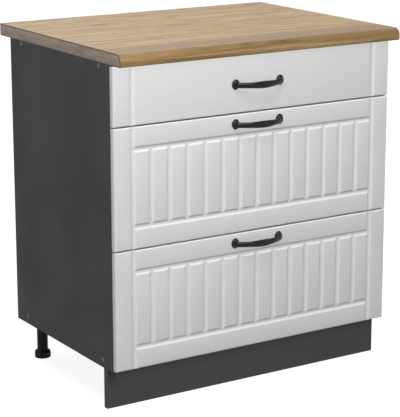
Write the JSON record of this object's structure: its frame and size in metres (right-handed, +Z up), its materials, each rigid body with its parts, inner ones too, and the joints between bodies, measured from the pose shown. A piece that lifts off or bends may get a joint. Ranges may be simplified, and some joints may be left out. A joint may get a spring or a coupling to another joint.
{
  "type": "kitchen base cabinet with drawers",
  "caption": "Kitchen base cabinet with framed and planked drawer fronts, bow handles, full-extension drawers, adjustable legs, a plinth and a rounded-nose worktop.",
  "frame": {"origin": "on the floor, under the centre of the worktop's outline", "axes": "+Z up, the drawer fronts face -Y and open that way, +X to the right as seen from the front is the cabinet's own width direction"},
  "size_m": [0.802, 0.618, 0.87],
  "materials": {
    "graphite_board": "melamine-faced chipboard in plain dark graphite, fine matt texture",
    "white_film": "fibreboard wrapped in white satin film, soft-edged routed grooves",
    "oak_laminate": "chipboard with a light oak laminate rolled over the nose, matt, fine grain along the length",
    "worktop_edge_band": "grey-brown edge band on the cut ends of the worktop",
    "back_board": "hardboard with a white painted face",
    "drawer_board": "light grey melamine-faced chipboard",
    "drawer_steel": "powder-coated sheet steel, light grey satin",
    "runner_steel": "zinc-plated rolled steel",
    "black_handle": "matt black painted zinc casting",
    "black_plastic": "black moulded plastic, matt",
    "screw_cap": "grey plastic cap over a steel screw"
  },
  "bodies": {
    "carcass": {"side_panel_left": "graphite_board", "side_panel_right": "graphite_board", "bottom_panel": "graphite_board", "top_rail_front": "graphite_board", "top_rail_rear": "graphite_board", "back_panel": "back_board", "screw_left_bottom_front": "screw_cap", "screw_left_bottom_rear": "screw_cap", "screw_left_top_front": "screw_cap", "screw_left_top_rear": "screw_cap", "screw_right_bottom_front": "screw_cap", "screw_right_bottom_rear": "screw_cap", "screw_right_top_front": "screw_cap", "screw_right_top_rear": "screw_cap", "worktop": "oak_laminate", "worktop_end_strip_left": "worktop_edge_band", "worktop_end_strip_right": "worktop_edge_band", "leg_tube_front_left": "black_plastic", "leg_tube_rear_left": "black_plastic", "plinth_clip_left": "black_plastic", "leg_tube_front_right": "black_plastic", "leg_tube_rear_right": "black_plastic", "plinth_clip_right": "black_plastic", "plinth_panel": "graphite_board", "runner_fixed_bottom_left": "runner_steel", "runner_fixed_bottom_right": "runner_steel", "runner_fixed_middle_left": "runner_steel", "runner_fixed_middle_right": "runner_steel", "runner_fixed_top_left": "runner_steel", "runner_fixed_top_right": "runner_steel"},
    "drawer_top": {"drawer_top_front": "white_film", "drawer_top_side_left": "drawer_steel", "drawer_top_side_right": "drawer_steel", "drawer_top_base": "drawer_board", "drawer_top_back": "drawer_board", "drawer_top_handle": "black_handle"},
    "runners_top": {"runner_middle_top_left": "runner_steel", "runner_middle_top_right": "runner_steel"},
    "drawer_middle": {"drawer_middle_front": "white_film", "drawer_middle_side_left": "drawer_steel", "drawer_middle_side_right": "drawer_steel", "drawer_middle_base": "drawer_board", "drawer_middle_back": "drawer_board", "drawer_middle_handle": "black_handle"},
    "runners_middle": {"runner_middle_middle_left": "runner_steel", "runner_middle_middle_right": "runner_steel"},
    "drawer_bottom": {"drawer_bottom_front": "white_film", "drawer_bottom_side_left": "drawer_steel", "drawer_bottom_side_right": "drawer_steel", "drawer_bottom_base": "drawer_board", "drawer_bottom_back": "drawer_board", "drawer_bottom_handle": "black_handle"},
    "runners_bottom": {"runner_middle_bottom_left": "runner_steel", "runner_middle_bottom_right": "runner_steel"},
    "foot_front_left": {"leg_foot_front_left": "black_plastic"},
    "foot_rear_left": {"leg_foot_rear_left": "black_plastic"},
    "foot_front_right": {"leg_foot_front_right": "black_plastic"},
    "foot_rear_right": {"leg_foot_rear_right": "black_plastic"}
  },
  "joints": [
    {"name": "drawer_top_slide", "type": "slide", "parent": "carcass", "child": "drawer_top", "axis": [0, -1, 0], "range_m": [0, 0.45]},
    {"name": "runners_top_slide", "type": "slide", "parent": "carcass", "child": "runners_top", "axis": [0, -1, 0], "range_m": [0, 0.225]},
    {"name": "drawer_middle_slide", "type": "slide", "parent": "carcass", "child": "drawer_middle", "axis": [0, -1, 0], "range_m": [0, 0.45]},
    {"name": "runners_middle_slide", "type": "slide", "parent": "carcass", "child": "runners_middle", "axis": [0, -1, 0], "range_m": [0, 0.225]},
    {"name": "drawer_bottom_slide", "type": "slide", "parent": "carcass", "child": "drawer_bottom", "axis": [0, -1, 0], "range_m": [0, 0.45]},
    {"name": "runners_bottom_slide", "type": "slide", "parent": "carcass", "child": "runners_bottom", "axis": [0, -1, 0], "range_m": [0, 0.225]},
    {"name": "foot_front_left_screw", "type": "slide", "parent": "carcass", "child": "foot_front_left", "axis": [0, 0, -1], "range_m": [0, 0.02]},
    {"name": "foot_rear_left_screw", "type": "slide", "parent": "carcass", "child": "foot_rear_left", "axis": [0, 0, -1], "range_m": [0, 0.02]},
    {"name": "foot_front_right_screw", "type": "slide", "parent": "carcass", "child": "foot_front_right", "axis": [0, 0, -1], "range_m": [0, 0.02]},
    {"name": "foot_rear_right_screw", "type": "slide", "parent": "carcass", "child": "foot_rear_right", "axis": [0, 0, -1], "range_m": [0, 0.02]}
  ],
  "couplings": [
    {"joint": "runners_top_slide", "follows": "drawer_top_slide", "ratio": 0.5},
    {"joint": "runners_middle_slide", "follows": "drawer_middle_slide", "ratio": 0.5},
    {"joint": "runners_bottom_slide", "follows": "drawer_bottom_slide", "ratio": 0.5}
  ]
}
